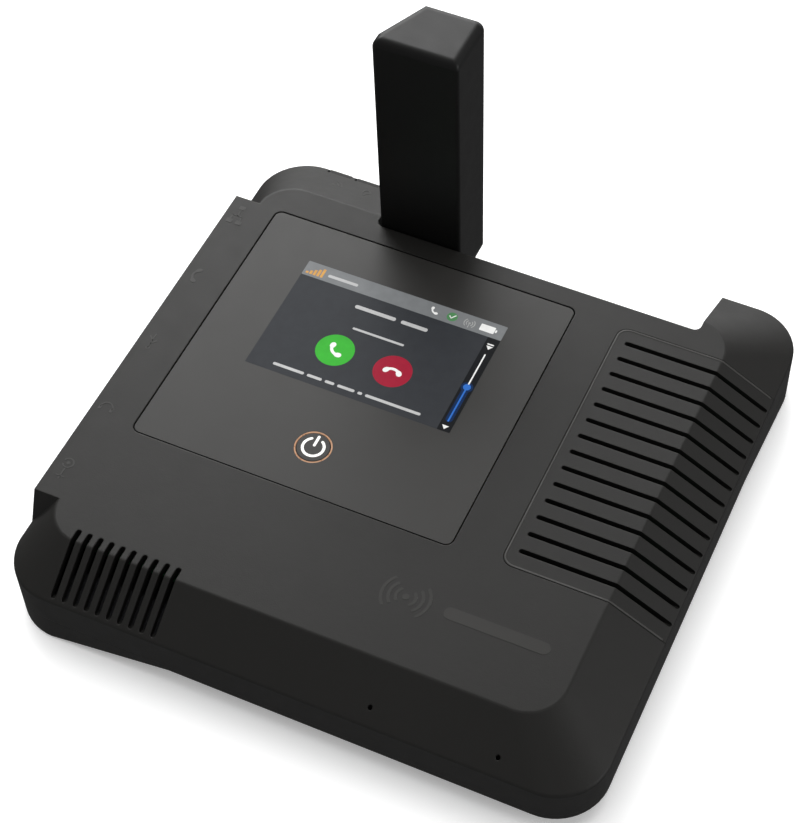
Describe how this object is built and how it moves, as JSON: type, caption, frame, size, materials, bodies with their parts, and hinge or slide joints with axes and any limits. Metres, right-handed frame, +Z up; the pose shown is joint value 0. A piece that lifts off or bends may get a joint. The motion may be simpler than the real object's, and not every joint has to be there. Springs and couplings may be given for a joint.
{
  "type": "desk-top satellite phone terminal",
  "caption": "Flat square desk-top satellite phone with a touch display, power button, vent grille, speaker slots, covered ports and an antenna that folds up from the rear edge.",
  "frame": {"origin": "on the table under the middle of the housing, at the soles of the feet", "axes": "+Z up, +X to the right and +Y to the rear as seen by someone facing the touch panel"},
  "size_m": [0.203, 0.203, 0.1218],
  "materials": {
    "housing": "fine spark-textured warm dark charcoal",
    "vent_plastic": "fine spark-textured dark charcoal",
    "panel": "smooth satin warm grey overlay",
    "button_plastic": "satin warm grey with a raised pale symbol",
    "amber_light": "translucent amber light guide",
    "display_glass": "slate grey display face under a matte film",
    "circuit_board": "green solder resist",
    "black_plastic": "moulded black",
    "rubber": "dull black rubber",
    "steel": "plain bright steel",
    "spring_steel": "oiled spring steel",
    "brass": "gold-flashed contacts",
    "bearing_plastic": "natural acetal",
    "copper": "bare copper tracks",
    "aluminium": "machined",
    "cable": "cable jacket",
    "flex": "amber film",
    "foam": "thin pads and cloth",
    "ceramic": "fired ceramic",
    "battery_wrap": "shrink wrap"
  },
  "bodies": {
    "base": {"antenna_coax": "cable", "audio_socket": "black_plastic", "battery_contacts": "brass", "battery_door": "housing", "battery_door_screws": "steel", "battery_door_seal": "rubber", "battery_pack": "battery_wrap", "button_board": "circuit_board", "button_light_ring": "amber_light", "coax_plug": "black_plastic", "display_flex": "flex", "display_module": "display_glass", "front_panel": "panel", "gnss_patch_antenna": "ceramic", "gnss_radio_socket": "brass", "heat_sink": "aluminium", "hinge_nuts": "steel", "hinge_shaft": "steel", "hinge_spring_washer": "spring_steel", "hinge_thrust_washer": "bearing_plastic", "housing_gasket": "rubber", "housing_screws": "steel", "lower_housing": "housing", "main_board": "circuit_board", "microphone_boots": "rubber", "modem_shield": "steel", "network_socket": "black_plastic", "panel_adhesive": "foam", "phone_socket": "black_plastic", "power_inlet": "black_plastic", "power_switch": "black_plastic", "processor": "black_plastic", "rubber_feet": "rubber", "satellite_modem": "aluminium", "satellite_radio_socket": "brass", "sim_holder": "black_plastic", "speaker_cloth": "foam", "speaker_driver": "black_plastic", "thermal_pad": "foam", "upper_housing": "housing", "usb_socket": "black_plastic", "vent_grille": "vent_plastic", "wifi_antennas": "ceramic"},
    "antenna": {"antenna_shell": "housing", "antenna_back_cover": "housing", "antenna_board": "circuit_board", "helix_core": "bearing_plastic", "helix_wires": "copper", "hinge_block": "aluminium", "hinge_bushes": "bearing_plastic"},
    "power_button": {"power_button": "button_plastic", "switch_plunger": "black_plastic"},
    "network_port_cover": {"network_port_cover": "housing"},
    "phone_port_cover": {"phone_port_cover": "housing"},
    "usb_port_cover": {"usb_port_cover": "housing"},
    "audio_port_cover": {"audio_port_cover": "housing"},
    "power_port_cover": {"power_port_cover": "housing"},
    "satellite_socket_cover": {"satellite_socket_cover": "housing"},
    "gnss_socket_cover": {"gnss_socket_cover": "housing"}
  },
  "joints": [
    {"name": "antenna_fold", "type": "hinge", "parent": "base", "child": "antenna", "pos_m": [-0.03365, 0.0868, 0.01945], "axis": [0, 1, 0], "range_deg": [0, 90]},
    {"name": "power_button_press", "type": "slide", "parent": "base", "child": "power_button", "axis": [0, 0, -1], "range_m": [0, 0.0005], "stiffness_N_per_m": 1000},
    {"name": "network_port_cover_swing", "type": "hinge", "parent": "base", "child": "network_port_cover", "pos_m": [-0.1005, 0.0586, 0.0144], "axis": [0, -1, 0], "range_deg": [0, 90]},
    {"name": "phone_port_cover_swing", "type": "hinge", "parent": "base", "child": "phone_port_cover", "pos_m": [-0.1005, 0.0282, 0.0144], "axis": [0, -1, 0], "range_deg": [0, 90]},
    {"name": "usb_port_cover_swing", "type": "hinge", "parent": "base", "child": "usb_port_cover", "pos_m": [-0.1005, -0.0034, 0.0144], "axis": [0, -1, 0], "range_deg": [0, 90]},
    {"name": "audio_port_cover_swing", "type": "hinge", "parent": "base", "child": "audio_port_cover", "pos_m": [-0.1005, -0.0343, 0.0144], "axis": [0, -1, 0], "range_deg": [0, 90]},
    {"name": "power_port_cover_swing", "type": "hinge", "parent": "base", "child": "power_port_cover", "pos_m": [-0.1005, -0.0612, 0.0144], "axis": [0, -1, 0], "range_deg": [0, 90]},
    {"name": "satellite_socket_cover_swing", "type": "hinge", "parent": "base", "child": "satellite_socket_cover", "pos_m": [-0.0773, 0.1005, 0.0139], "axis": [-1, 0, 0], "range_deg": [0, 90]},
    {"name": "gnss_socket_cover_swing", "type": "hinge", "parent": "base", "child": "gnss_socket_cover", "pos_m": [-0.06635, 0.1005, 0.0139], "axis": [-1, 0, 0], "range_deg": [0, 90]}
  ]
}
